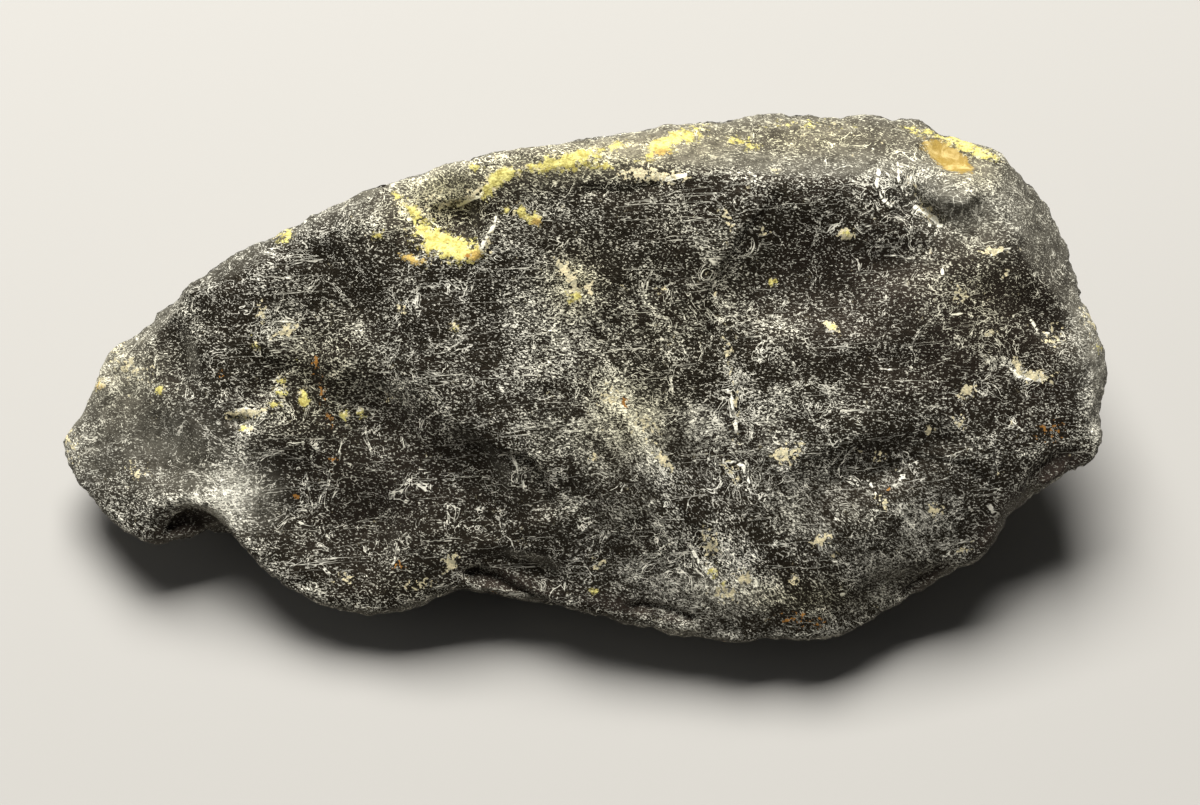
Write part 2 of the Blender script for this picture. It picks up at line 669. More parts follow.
# %% Veil, veins and fibres
VEIL = (
    (-47.4, 1.0, 9.0, 10.0, 20, 0.35),
    (-50.4, -7.0, 6.0, 10.0, 10, 0.25),
    (-40.6, -11.0, 14.0, 4.0, -10, 0.15),
    (-42.6, -6.4, 15.0, 8.6, 5, 0.3),
    (-35.0, -11.6, 7.5, 6.5, -20, 0.9),
    (-48.0, 1.0, 8.0, 10.0, 30, 0.2),
    (39.0, 17.6, 11.0, 8.0, -20, 0.5),
    (35.4, 18.6, 5.0, 4.0, -40, 0.4),
    (3.0, 22.6, 30.0, 4.6, 8, 0.35),
    (24.0, 23.4, 22.0, 5.0, 0, 0.1),
    (-16.0, 19.6, 14.0, 5.0, 20, 0.3),
    (50.4, 4.0, 4.0, 14.0, 8, 0.4),
    (13.0, -21.0, 8.0, 4.0, -10, 0.2),
)
VEINED = (
    (34.0, 18.6, 9.0, 9.0, -40, 1.0),
    (30.6, 18.8, 3.0, 8.0, 10, 0.8),
    (14.6, -9.4, 5.0, 7.0, 30, 1.0),
    (9.0, -18.6, 10.0, 7.0, -30, 0.8),
    (2.4, -2.4, 9.0, 7.0, -30, 0.7),
    (-16.6, 17.6, 9.0, 6.0, -20, 1.0),
    (-33.6, -4.0, 8.0, 4.0, 0, 0.8),
    (-31.0, 5.6, 9.0, 4.0, 20, 0.8),
    (15.0, -1.0, 4.0, 10.0, 5, 0.8),
    (-12.4, -20.0, 7.0, 4.0, 0, 0.6),
    (44.8, 0.4, 6.0, 4.0, -20, 0.6),
    (-35.4, -11.6, 7.0, 7.0, -20, 0.6),
    (-47.6, 1.6, 9.0, 8.0, 20, 0.4),
    (11.8, 7.0, 4.0, 10.0, -10, 0.6),
    (39.6, 3.6, 7.0, 7.0, 0, 0.5),
)
FIBRES = (
    ([(32.6, 17.5), (33.2, 17.1), (33.9, 16.8), (34.6, 16.4), (35.2, 16.0), (35.5, 15.4),
      (36.4, 15.3)], 1.1),
    ([(36.4, 15.3), (37.1, 15.7), (37.9, 15.0), (37.4, 14.0)], 0.9),
    ([(29.4, 21.4), (29.1, 19.4), (29.8, 17.9), (31.1, 16.9)], 1.0),
    ([(31.0, 22.4), (31.3, 20.7), (31.9, 18.9), (32.6, 17.9)], 0.95),
    ([(32.5, 21.4), (32.9, 19.7), (33.9, 18.2), (35.4, 17.1), (36.6, 16.7)], 0.9),
    ([(35.2, 12.1), (35.7, 11.1), (35.6, 10.1)], 0.95),
    ([(13.4, -7.7), (13.8, -8.3), (13.6, -8.6), (15.0, -8.4), (15.8, -8.8), (16.0, -9.7),
      (16.6, -10.9)], 1.0),
    ([(28.0, -9.7), (29.4, -12.2), (30.4, -13.0)], 0.95),
    ([(-32.4, 4.9), (-31.1, 5.7), (-29.6, 5.7), (-27.6, 6.1)], 0.9),
    ([(-33.6, 5.0), (-32.8, 3.4), (-32.4, 1.9)], 0.9),
    ([(-18.6, 16.9), (-17.4, 15.5), (-16.2, 13.8)], 0.95),
    ([(-19.6, 16.4), (-18.4, 14.8), (-17.2, 13.4)], 0.9),
    ([(-8.9, 16.6), (-9.2, 15.1), (-10.0, 13.9), (-10.8, 12.1)], 1.0),
    ([(-13.4, 16.9), (-12.1, 17.6), (-10.6, 18.2), (-9.9, 18.9)], 1.02),
    ([(-16.4, 16.6), (-14.8, 17.2), (-13.4, 16.9)], 0.95),
    ([(14.1, -0.7), (14.6, -2.2), (14.9, -4.2), (15.2, -6.0)], 1.0),
    ([(12.0, 7.4), (12.6, 5.2), (13.4, 3.6)], 0.9),
    ([(10.2, -16.2), (11.4, -18.6), (13.6, -21.1)], 1.0),
    ([(16.2, -19.2), (17.0, -20.4), (17.4, -21.4)], 1.0),
    ([(18.4, -10.4), (19.6, -13.6), (20.4, -17.0)], 0.85),
    ([(42.2, 1.3), (43.4, 0.1), (45.4, -0.2), (46.6, 0.2)], 1.05),
    ([(40.2, 12.2), (41.6, 12.8), (43.0, 13.0)], 1.0),
    ([(27.4, 24.8), (28.8, 22.8), (29.9, 21.4)], 0.85),
    ([(23.8, -5.2), (27.4, -4.4), (30.6, -4.2)], 0.85),
    ([(26.6, -0.4), (30.0, -0.9), (34.6, -1.9), (37.0, -2.1)], 0.9),
    ([(24.6, 1.6), (29.6, 0.9), (33.0, 0.6)], 0.88),
    ([(31.0, 7.0), (36.0, 6.2), (38.6, 6.6)], 0.88),
    ([(27.0, 12.4), (31.6, 12.2), (34.0, 11.6)], 0.88),
    ([(44.4, 6.2), (45.2, 4.6), (46.8, 4.4)], 0.95),
    ([(-35.6, -3.3), (-33.8, -3.0), (-32.0, -3.6)], 0.92),
    ([(-50.8, 0.6), (-47.6, 3.4), (-44.6, 5.2)], 0.85),
    ([(6.2, 20.3), (8.0, 19.9), (10.4, 20.4)], 1.1),
    ([(-3.4, 12.0), (-2.4, 10.4), (-1.4, 9.0)], 0.92),
)


def thread(line, strength):
    """A fine line on the plan: full strength on it, falling evenly to nothing a millimetre away."""
    gap, _, run = along_line(line)
    ends = smooth_step(-0.05, 0.1, run) * smooth_step(-0.05, 0.1, 1 - run)
    return strength * np.clip(1 - gap, 0, 1) * ends * facing


veil = marks(VEIL) + 0.25 * back * smooth_step(0.0, 0.5, grain_noise) + 0.3 * bevel
veined = marks(VEINED)
fibre = np.max([thread(*one) for one in FIBRES], axis=0)
print("veiled share of the skin:", round(float((veil > 0.5).mean()), 3))

# %% [markdown]
# ## Where clay and rust lie
#
# Soil dried on as crusts and crumbs. Most of it is pale yellow, and cream where it is older and harder.
# Iron in the soil stained parts of it ochre, and left a few rust spots. One large amber patch fills the
# scoop at the upper right, smooth where the rest is crumbly. Besides the named spots, hollows on the unseen
# sides get some too. The film is a tint rather than a crust: it only turns the etched marks cream.

# %% Yellow, amber and ochre
YELLOW_CLAY = (
    (-15.2, 13.8, 6.2, 3.6, -30, 0.95),
    (-12.6, 12.9, 5.4, 3.0, -15, 1.0),
    (-17.4, 11.8, 4.0, 1.6, -18, 0.85),
    (-10.9, 12.2, 1.6, 1.4, 0, 0.8),
    (-17.4, 16.8, 3.6, 1.4, -42, 0.9),
    (-19.0, 18.2, 2.0, 1.2, -30, 0.6),
    (-9.4, 19.3, 4.0, 2.2, 40, 1.0),
    (-11.2, 21.2, 3.0, 1.2, 10, 0.7),
    (-8.0, 20.4, 3.4, 1.8, 20, 0.9),
    (-3.6, 21.4, 6.0, 2.0, 14, 0.95),
    (-0.4, 22.2, 5.0, 1.9, 12, 0.95),
    (1.6, 21.2, 4.0, 1.2, 0, 0.75),
    (-1.6, 20.9, 3.0, 1.2, 0, 0.6),
    (9.8, 24.2, 6.4, 2.2, 14, 1.0),
    (6.0, 21.8, 3.0, 1.2, 20, 0.7),
    (7.4, 23.0, 3.0, 2.0, 0, 0.9),
    (15.0, 23.6, 2.6, 1.6, 0, 0.8),
    (16.6, 23.2, 2.0, 1.4, 0, 0.7),
    (3.4, 23.4, 3.6, 1.4, 10, 0.8),
    (-5.2, 15.8, 2.2, 1.8, -20, 1.1),
    (-6.4, 16.7, 1.4, 1.3, 0, 1.0),
    (-7.9, 16.7, 1.3, 1.2, 0, 0.9),
    (-30.3, 14.2, 2.6, 1.7, 20, 0.9),
    (-20.8, 14.3, 2.2, 1.2, 0, 0.8),
    (-1.2, 8.0, 1.9, 1.5, 0, 1.1),
    (18.8, 9.6, 1.1, 1.0, 0, 1.1),
    (-13.0, 5.2, 1.4, 1.8, 0, 0.9),
    (-24.1, -3.8, 1.1, 2.3, 10, 0.9),
    (-22.4, -3.5, 1.4, 1.3, 0, 0.8),
    (0.7, -21.4, 1.3, 1.2, 0, 0.8),
    (12.7, -19.4, 1.0, 2.2, 20, 0.8),
    (13.7, -20.7, 1.0, 1.6, 10, 0.7),
    (39.4, 22.6, 5.6, 1.4, -18, 0.9),
    (36.4, 23.8, 6.0, 1.5, -14, 0.7),
    (33.4, 24.8, 4.0, 1.2, -10, 0.6),
    (22.0, 25.4, 12.0, 1.6, 0, 0.45),
    (-30.6, -1.5, 2.2, 0.9, -20, 0.9),
    (-31.2, -2.6, 1.8, 0.9, -10, 0.9),
    (-28.3, -1.8, 1.3, 2.4, 0, 0.85),
    (-34.2, -4.9, 1.3, 1.2, 0, 0.9),
    (-48.6, -0.8, 1.9, 1.1, 10, 0.8),
    (-42.6, -1.2, 1.3, 1.1, 60, 0.8),
    (-28.8, 1.8, 0.9, 0.9, 0, 0.5),
    (-33.0, 3.4, 1.0, 2.0, 30, 0.8),
    (-30.4, -0.4, 1.8, 1.0, -20, 0.9),
    (-28.0, -2.4, 1.4, 1.4, 0, 0.7),
    (26.1, 14.4, 1.6, 1.1, -30, 1.0),
    (24.6, 5.2, 1.6, 0.7, -30, 0.8),
    (51.2, 3.0, 1.4, 2.2, -20, 0.6),
    (49.0, 12.0, 1.0, 3.0, 10, 0.5),
)
AMBER_CLAY = (
    (35.4, 22.6, 6.0, 3.4, -32, 1.1),
    (37.4, 21.4, 4.4, 2.4, -36, 0.9),
)
OCHRE_STAIN = (
    (-17.2, 11.7, 5.2, 2.6, -18, 1.0),
    (-15.6, 10.9, 3.0, 1.6, 0, 0.8),
    (-11.0, 12.2, 1.8, 1.6, 0, 0.8),
    (7.6, 22.3, 2.4, 1.6, 0, 1.0),
    (-4.9, 15.5, 1.6, 1.2, 0, 0.8),
    (-48.7, -0.7, 1.6, 1.2, 0, 0.8),
    (-33.4, -3.4, 4.4, 2.0, 0, 0.5),
    (38.0, 21.4, 5.0, 2.0, -20, 0.4),
)

clay_noise = smooth_step(0.1, 0.5, noise_field(size=3.2, seed=14))
yellow = marks(YELLOW_CLAY) + 0.7 * back * pit * clay_noise
amber = marks(AMBER_CLAY)
ochre = marks(OCHRE_STAIN) + 0.7 * back * smooth_step(0.1, 0.5, noise_field(size=6.0, seed=15))
print("yellow share of the skin:", round(float((yellow > 0.5).mean()), 3))

# %% Cream, rust and film
CREAM_CLAY = (
    (-2.2, 10.9, 2.6, 1.3, -55, 1.3),
    (-1.1, 9.4, 2.4, 0.9, -80, 1.3),
    (0.3, 8.9, 0.9, 1.9, 10, 1.2),
    (7.4, 20.2, 5.6, 1.5, 0, 0.9),
    (5.0, 20.6, 3.2, 1.1, 12, 0.7),
    (14.1, 15.9, 2.8, 0.9, -62, 0.8),
    (26.0, 14.3, 1.9, 1.3, 0, 0.9),
    (17.9, 14.6, 1.2, 0.9, 0, 0.8),
    (34.3, 16.6, 3.6, 1.1, -42, 0.7),
    (32.8, 19.6, 3.4, 0.8, -66, 0.3),
    (24.7, 5.0, 2.0, 0.9, -38, 0.8),
    (38.2, -1.2, 2.3, 1.5, 15, 1.0),
    (40.5, 12.6, 3.6, 1.1, 14, 0.9),
    (42.1, 10.3, 1.3, 1.0, 0, 0.8),
    (37.6, 8.5, 1.3, 1.8, 20, 0.8),
    (40.3, 4.4, 1.6, 1.0, 0, 0.8),
    (44.9, 0.2, 3.8, 1.3, -14, 1.1),
    (43.0, 1.6, 1.4, 1.2, -60, 0.8),
    (19.9, -7.7, 2.6, 2.2, 0, 1.0),
    (21.4, -6.8, 1.6, 0.8, 50, 0.8),
    (34.2, -5.2, 1.1, 1.0, 0, 1.0),
    (37.4, -4.4, 2.0, 1.6, -40, 0.6),
    (29.4, -7.8, 1.3, 1.0, 0, 0.8),
    (29.6, -12.4, 2.2, 1.0, -48, 0.9),
    (34.9, -13.2, 1.9, 1.6, -50, 0.9),
    (23.6, -16.2, 3.2, 1.1, 26, 0.9),
    (2.4, -1.8, 3.4, 2.6, 0, 0.6),
    (6.0, -5.0, 4.0, 3.0, -40, 0.45),
    (0.9, -7.8, 1.6, 1.2, 0, 0.7),
    (7.8, -8.2, 2.8, 1.3, -50, 0.9),
    (1.2, -18.6, 1.4, 1.6, 0, 0.8),
    (15.9, -20.0, 2.4, 1.6, -30, 0.9),
    (14.0, -21.6, 3.4, 1.6, -10, 0.8),
    (12.4, -16.6, 2.0, 3.4, 10, 0.7),
    (20.7, -19.9, 1.0, 2.2, 25, 0.8),
    (-18.4, 7.0, 1.9, 1.2, 0, 0.7),
    (-33.4, -3.4, 3.6, 1.1, 5, 1.0),
    (-35.6, -3.6, 1.8, 1.0, 10, 0.7),
    (15.0, -2.8, 1.1, 6.0, 4, 0.4),
    (14.2, 3.0, 1.2, 6.0, 8, 0.4),
    (14.6, -9.4, 1.4, 4.0, 35, 0.5),
    (-48.4, -0.4, 2.0, 1.1, 10, 0.6),
    (-13.6, -18.4, 2.4, 1.5, 40, 0.9),
    (-11.4, 18.3, 4.6, 1.2, 24, 0.5),
    (-15.0, 18.0, 5.0, 3.0, 20, 0.25),
    (-18.0, 17.0, 5.0, 3.0, -20, 0.2),
    (-9.8, 13.6, 1.0, 3.4, -28, 0.35),
    (-30.0, 4.8, 3.4, 1.2, 24, 0.9),
    (-32.4, 6.6, 1.2, 3.4, 10, 0.6),
    (-48.0, 3.6, 4.4, 2.6, 20, 0.7),
    (-45.8, 1.0, 5.4, 2.6, -30, 0.5),
    (-51.6, -6.4, 2.0, 5.0, 10, 0.5),
    (-45.0, -9.2, 3.6, 2.0, -30, 0.4),
    (46.8, 4.4, 3.0, 2.6, 20, 0.5),
    (50.2, 6.0, 1.8, 4.0, 20, 0.5),
    (38.0, -17.0, 3.0, 1.4, 40, 0.5),
    (-24.2, -20.2, 3.0, 1.4, -20, 0.5),
    (-16.6, -20.6, 4.0, 1.2, 10, 0.5),
)
RUST = (
    (-36.6, 0.4, 1.0, 0.8, 0, 0.9),
    (-29.0, -11.8, 0.8, 0.7, 0, 0.9),
    (-27.1, 1.4, 0.9, 2.6, -8, 0.5),
    (-26.4, -1.2, 0.9, 3.4, 8, 0.5),
    (-25.6, -4.4, 1.2, 2.4, 14, 0.45),
    (-25.2, -8.4, 1.2, 3.4, 16, 0.4),
    (3.9, -2.4, 1.2, 1.0, 0, 0.9),
    (-18.7, -18.8, 1.2, 1.0, 0, 0.8),
    (30.2, -11.2, 0.9, 0.9, 0, 0.9),
    (46.4, -5.2, 4.2, 3.2, 0, 0.4),
    (21.6, -24.2, 6.0, 2.0, -6, 0.4),
    (-11.6, 12.2, 2.0, 1.4, 0, 0.6),
)
CLAY_FILM = (
    (2.0, 22.0, 34.0, 6.0, 8, 0.9),
    (-15.0, 17.0, 14.0, 8.0, 15, 0.8),
    (25.0, 24.0, 24.0, 5.0, 0, 0.7),
    (38.0, 22.0, 10.0, 6.0, -25, 0.8),
    (-1.0, 9.6, 8.0, 8.0, -50, 0.6),
    (4.4, -3.6, 12.0, 12.0, -30, 0.5),
    (-27.0, 0.0, 12.0, 14.0, 0, 0.45),
    (40.0, 8.0, 14.0, 14.0, 0, 0.45),
    (-46.0, 0.0, 12.0, 10.0, 20, 0.35),
    (8.0, 8.0, 24.0, 20.0, 0, 0.25),
    (22.0, -22.0, 14.0, 4.0, 0, 0.5),
    (-18.0, -21.0, 12.0, 3.0, 0, 0.2),
)

cream = marks(CREAM_CLAY)
back_cream = 0.35 * back * smooth_step(0.3, 0.7, noise_field(size=2.6, seed=16))
cream += 0.45 * np.clip(yellow, 0, 1) + 0.35 * pits + back_cream
rust = marks(RUST) + 0.4 * back * smooth_step(0.45, 0.8, noise_field(size=2.2, seed=17))
film = 0.22 - 0.1 * back + marks(CLAY_FILM) + 0.1 * grain_noise
print("cream share of the skin:", round(float((cream > 0.5).mean()), 3))

# %% [markdown]
# ## Clay has a thickness
#
# A crust stands a little proud of the glass and catches the light on its edge, so the thick kinds add to
# the relief as well. The thin tints don't: what is only colour isn't raised.

# %% Raise the clay
CRUST_THICKNESS = 0.12
CRUMB_THICKNESS = 0.05

crusted = np.maximum(yellow, 0.8 * amber) + 0.35 * fine_noise
clay_thickness = CRUST_THICKNESS * smooth_step(0.45, 0.8, crusted)
clay_thickness += CRUMB_THICKNESS * smooth_step(0.5, 0.9, cream + 0.35 * fine_noise)
relief += clay_thickness
print("thickest clay, mm:", clay_thickness.max().round(2))

# %% [markdown]
# ## Attributes
#
# The material can't see these arrays, so each is stored on the mesh as one number per point, under a plain
# name. An image would need an unwrapped UV map, and its pixels would show where the skin is stretched.

# %% Store the marks on the mesh
ATTRIBUTES = {
    "frost": frost,
    "veil": veil,
    "film": film,
    "slanted": slanted,
    "bare": bare,
    "yellow": yellow,
    "amber": amber,
    "cream": cream,
    "rust": rust,
    "ochre": ochre,
    "veined": veined,
    "fibre": fibre,
}
MOST_STORED = 1.2
for name, values in ATTRIBUTES.items():
    attribute = mesh.attributes.new(name, "FLOAT", "POINT")
    attribute.data.foreach_set("value", np.clip(values, 0, MOST_STORED).astype(np.float32))
    print("attribute", name, "covers", round(float((values > 0.5).mean()), 3), "of the skin")

# %% [markdown]
# ## Push the relief into the skin
#
# Every point now moves along its normal by its height. The relief fades out close to the table, so that the
# stone still rests on its own small flat, and nothing goes below it.

# %% Move the points
NO_RELIEF_BELOW = 0.3 * MM
FULL_RELIEF_ABOVE = 1.5 * MM

resting = smooth_step(low.z + NO_RELIEF_BELOW, low.z + FULL_RELIEF_ABOVE, skin_points[:, 2])
skin_points += skin_normals * (relief * resting * MM)[:, None]
skin_points[:, 2] = np.maximum(skin_points[:, 2], low.z)
mesh.vertices.foreach_set("co", skin_points.ravel())
mesh.polygons.foreach_set("use_smooth", np.ones(len(mesh.polygons), bool))
mesh.update()
stone = bpy.data.objects.new("tektite_stone", mesh)
bpy.context.scene.collection.objects.link(stone)
tell_relief("clay and all")

# %% [markdown]
# ## Etched tektite glass
#
# The material is tektite glass, shaped by breaking and then etched by soil water. It is nearly black, with
# a brown cast where it is thin, and it isn't clear enough to see into, so it is a plain opaque surface.
# Etching and dust dull its gleam, and clay warms it. Over the glass lie a grey veil, short pale etched
# marks, thin lines, and crusts of clay, each with its own colour and roughness.

# %% Helpers for the material
def srgb(code):
    """A hex colour as the linear red, green, blue and alpha that Blender's nodes take."""
    parts = [int(code[i : i + 2], 16) / 255 for i in (1, 3, 5)]
    return [c / 12.92 if c <= 0.04045 else ((c + 0.055) / 1.055) ** 2.4 for c in parts] + [1.0]


def add_node(tree, kind, inputs=None, links=None, **settings):
    """Adds a node, sets it up, gives its sockets values and links sockets to other nodes' outputs."""
    made = tree.nodes.new(kind)
    for name, value in settings.items():
        setattr(made, name, value)
    for socket, value in (inputs or {}).items():
        made.inputs[socket].default_value = value
    for socket, source in (links or {}).items():
        tree.links.new(source, made.inputs[socket])
    return made


def per_metre(size_mm):
    """A noise scale that puts one swell every so many millimetres."""
    return 1000 / size_mm


print("one swell a millimetre is a noise scale of", per_metre(1.0))

# %% Start the material
GLASS_IOR = 1.5
DULLED_GLEAM = 0.12  # dust and etching take away most of the mirror reflection, whose full level is 0.5
WARMED_GLEAM = srgb("#f3dcc0")
FACE_LEAN = math.radians(30)

glass = bpy.data.materials.new("etched_tektite_glass")
glass.use_nodes = True
tree = glass.node_tree
shader = tree.nodes["Principled BSDF"]
shader.inputs["IOR"].default_value = GLASS_IOR
shader.inputs["Specular IOR Level"].default_value = DULLED_GLEAM
shader.inputs["Specular Tint"].default_value = WARMED_GLEAM

place = add_node(tree, "ShaderNodeTexCoord").outputs["Object"]
lean_back = {"Rotation": (-FACE_LEAN, 0, 0)}
face_plan = add_node(tree, "ShaderNodeMapping", lean_back, {"Vector": place}).outputs["Vector"]
painted = {
    name: add_node(tree, "ShaderNodeAttribute", attribute_name=name).outputs["Fac"] for name in ATTRIBUTES
}
print("painted attributes:", ", ".join(painted))

# %% [markdown]
# ## Small steps that the layers share
#
# A material is a long sum of small steps: add, multiply, rise softly, blend. Each gets a short name here,
# so that a layer below reads as a few sentences. A number and another node's output can stand in the same
# place: the number is set on the node's own socket, and the output is linked.

# %% Sums and ramps
def math_step(operation, first, second, clamp=False):
    """One sum of two numbers or outputs."""
    values = {i: v for i, v in enumerate((first, second)) if isinstance(v, (int, float))}
    links = {i: v for i, v in enumerate((first, second)) if not isinstance(v, (int, float))}
    return add_node(tree, "ShaderNodeMath", values, links, operation=operation, use_clamp=clamp).outputs[0]


def ramp(value, start, end, low_end=0.0, high_end=1.0):
    """A soft rise of a number from one level to another between start and end."""
    ends = {"From Min": start, "From Max": end, "To Min": low_end, "To Max": high_end}
    return add_node(
        tree, "ShaderNodeMapRange", ends, {"Value": value}, interpolation_type="SMOOTHSTEP"
    ).outputs["Result"]


def blend_number(share, below, above):
    """The number above laid over the one below, by share."""
    values = {i: v for i, v in ((2, below), (3, above)) if isinstance(v, (int, float))}
    links = {i: v for i, v in ((2, below), (3, above)) if not isinstance(v, (int, float))}
    return add_node(tree, "ShaderNodeMix", values, {0: share} | links, data_type="FLOAT").outputs[0]


print("nodes so far:", len(tree.nodes))

# %% Swells, lines and colours
def swells(where, size_mm, detail=2.0, roughness=0.5, distortion=0.0):
    """Three independent noises of one size, as numbers around a half."""
    noise_node = add_node(
        tree,
        "ShaderNodeTexNoise",
        {"Scale": per_metre(size_mm), "Detail": detail, "Roughness": roughness, "Distortion": distortion},
        {"Vector": where},
    )
    split = add_node(tree, "ShaderNodeSeparateColor", links={0: noise_node.outputs["Color"]})
    return split.outputs[0], split.outputs[1], split.outputs[2]


def line_through(value, half_width):
    """1 where a noise passes through a half, which draws thin curly lines, and 0 away from there."""
    off = math_step("ABSOLUTE", math_step("SUBTRACT", value, 0.5), 0.0)
    return ramp(off, 0.6 * half_width, half_width, 1.0, 0.0)


def blend(share, below, above):
    """The colour above laid over the one below, by share. A colour is a value or another node's output."""
    mix = add_node(tree, "ShaderNodeMix", links={0: share}, data_type="RGBA")
    for socket, colour in ((6, below), (7, above)):
        if isinstance(colour, list):
            mix.inputs[socket].default_value = colour
        else:
            tree.links.new(colour, mix.inputs[socket])
    return mix.outputs[2]


print("nodes so far:", len(tree.nodes))

# %% [markdown]
# ## Etched marks
#
# Each mark is a short pale line about 0.1 mm wide, with dots between. A noise crosses a half along thin
# curly lines, and those are the marks. A second noise cuts them to lengths, a third shades them. The noises
# are stretched a little along the lie of the marks. "frost" shifts how much of each line is kept and how
# bright it is. Real scratches could be drawn one by one, but there are tens of thousands of them.

# %% Etched marks of one lie
MARK_SIZE = 0.3  # mm from one mark to the next
MARK_BREAKS = 0.17
MARK_STRETCH = 1.8
MARK_LINE = 0.058  # half widths, in noise: the larger, the wider the line
FAINT_LINE = 0.04
FAINT_SHARE = 0.4
MIDDLING_DENSITY = 0.9  # where about half of every line is kept
DENSITY_PULL = 0.3
DOT_PULL = 0.7


def etch_marks(turn, seed):
    """The noises behind short marks that run along one bearing."""
    along = add_node(
        tree,
        "ShaderNodeMapping",
        {"Location": (seed, seed, 0), "Rotation": (0, 0, math.radians(turn)), "Scale": (MARK_STRETCH, 1, 1)},
        {"Vector": face_plan},
        vector_type="TEXTURE",
    ).outputs["Vector"]
    lines_and_shades = swells(along, MARK_SIZE, detail=1.2, distortion=0.7)
    breaks_and_dots = swells(along, MARK_BREAKS, detail=0.5)
    return *lines_and_shades, *breaks_and_dots


def marks_of(parts, density):
    """Faint and bright marks from one set of noises; density shifts how much of each line is kept."""
    threads, fine_threads, shades, patches, fine_patches, dots = parts
    shift = math_step("MULTIPLY", math_step("SUBTRACT", density, MIDDLING_DENSITY), DENSITY_PULL)
    kept = ramp(math_step("ADD", patches, shift), 0.48, 0.54)
    bright_line = math_step("MULTIPLY", line_through(threads, MARK_LINE), kept)
    bright_line = math_step("MULTIPLY", bright_line, ramp(shades, 0.35, 0.55, 0.4, 1.0))
    kept_fine = ramp(math_step("ADD", fine_patches, shift), 0.46, 0.54)
    faint_line = math_step("MULTIPLY", line_through(fine_threads, FAINT_LINE), kept_fine)
    dot = ramp(math_step("ADD", dots, math_step("MULTIPLY", shift, DOT_PULL)), 0.68, 0.73)
    strength = ramp(density, 0.35, 1.25, 0.38, 1.0)
    bright = math_step("MULTIPLY", math_step("MAXIMUM", bright_line, dot), strength)
    return math_step("MAXIMUM", bright, math_step("MULTIPLY", faint_line, FAINT_SHARE))


print("nodes so far:", len(tree.nodes))

# %% Marks of both lies, clumped and dusted
CLUMP_SIZE = 1.2
CLUMP_CONTRAST = 1.1
LEVEL_LIE = -8  # degrees
SLANTED_LIE = -42
GRIT_SIZE = 0.22
MOST_DUST = 0.16

clump, clump_fine, _ = swells(face_plan, CLUMP_SIZE, detail=4.0, roughness=0.7)
clump = math_step("ADD", math_step("MULTIPLY", math_step("SUBTRACT", clump, 0.5), CLUMP_CONTRAST), 0.5)
density = math_step("ADD", clump, painted["frost"])
level_marks = marks_of(etch_marks(LEVEL_LIE, 0.0), density)
slanted_marks = marks_of(etch_marks(SLANTED_LIE, 0.05), density)
etched = blend_number(painted["slanted"], level_marks, slanted_marks)
grit, grit_tone, _ = swells(face_plan, GRIT_SIZE, detail=1.5, roughness=0.6)
dust = math_step("MULTIPLY", ramp(grit, 0.45, 0.68), ramp(density, 0.5, 1.6, 0.0, MOST_DUST))
etched = math_step("MAXIMUM", etched, dust, clamp=True)
print("nodes so far:", len(tree.nodes))

# %% [markdown]
# ## Veins, scratches and fibres
#
# Longer lines cross the marks. Veins are curly and a few millimetres long, and scratches are straight,
# faint and drawn out fourteen times. Both are kept only here and there, and fade out on bare chips. The
# fibres come from the mesh, and a little noise frays their edges.

# %% Longer lines
VEIN_SIZE = 2.6
VEIN_LINE = 0.008
VEIN_SHARE = 0.72
VEINED_PULL = 0.3
SCRATCH_SIZE = 0.9
SCRATCH_LINE = 0.007
SCRATCH_SHARE = 0.5
SCRATCH_STRETCH = 14
SCRATCH_LIE = math.radians(4)
FRAY_SIZE = 0.9
FRAY_SHARE = 0.4

vein, vein_where, vein_two = swells(
    face_plan, VEIN_SIZE, detail=3.0, roughness=0.55, distortion=1.2
)
vein_kept = math_step("ADD", vein_where, math_step("MULTIPLY", painted["veined"], VEINED_PULL))
veins = math_step("MAXIMUM", line_through(vein, VEIN_LINE), line_through(vein_two, VEIN_LINE))
veins = math_step("MULTIPLY", veins, ramp(vein_kept, 0.54, 0.6))
long_way = add_node(
    tree,
    "ShaderNodeMapping",
    {"Rotation": (0, 0, SCRATCH_LIE), "Scale": (SCRATCH_STRETCH, 1, 1)},
    {"Vector": face_plan},
    vector_type="TEXTURE",
).outputs["Vector"]
scratch, scratch_where, _ = swells(long_way, SCRATCH_SIZE)
scratches = math_step("MULTIPLY", line_through(scratch, SCRATCH_LINE), ramp(scratch_where, 0.5, 0.6))
veins = math_step("MULTIPLY", veins, VEIN_SHARE)
lines = math_step("MAXIMUM", veins, math_step("MULTIPLY", scratches, SCRATCH_SHARE))
lines = math_step("MULTIPLY", lines, ramp(painted["bare"], 0.4, 0.8, 1.0, 0.0))
fray = math_step("SUBTRACT", swells(face_plan, FRAY_SIZE)[0], 0.5)
fray = math_step("MULTIPLY", fray, FRAY_SHARE)
fibres = ramp(math_step("ADD", painted["fibre"], fray), 0.8, 0.9)
etched = math_step("MAXIMUM", etched, math_step("MAXIMUM", lines, fibres))
print("nodes so far:", len(tree.nodes))

# %% [markdown]
# ## Clay crusts
#
# A soft egg of clay would look airbrushed. Real clay has flaked off in crumbs, so a noise is added to each
# deposit and the sum is cut off sharply. A large spread tears it to crumbs, and a small one leaves it
# whole, as in the amber patch. Loose cream crumbs lie wherever there is a film of clay.

# %% Torn deposits
RAGGED_SIZE = 0.8
CRUMB_SIZE = 0.45

ragged_one, ragged_two, ragged_three = swells(face_plan, RAGGED_SIZE, detail=5.0, roughness=0.75)
crumbly, crumbly_two, _ = swells(face_plan, CRUMB_SIZE, detail=3.0, roughness=0.6)


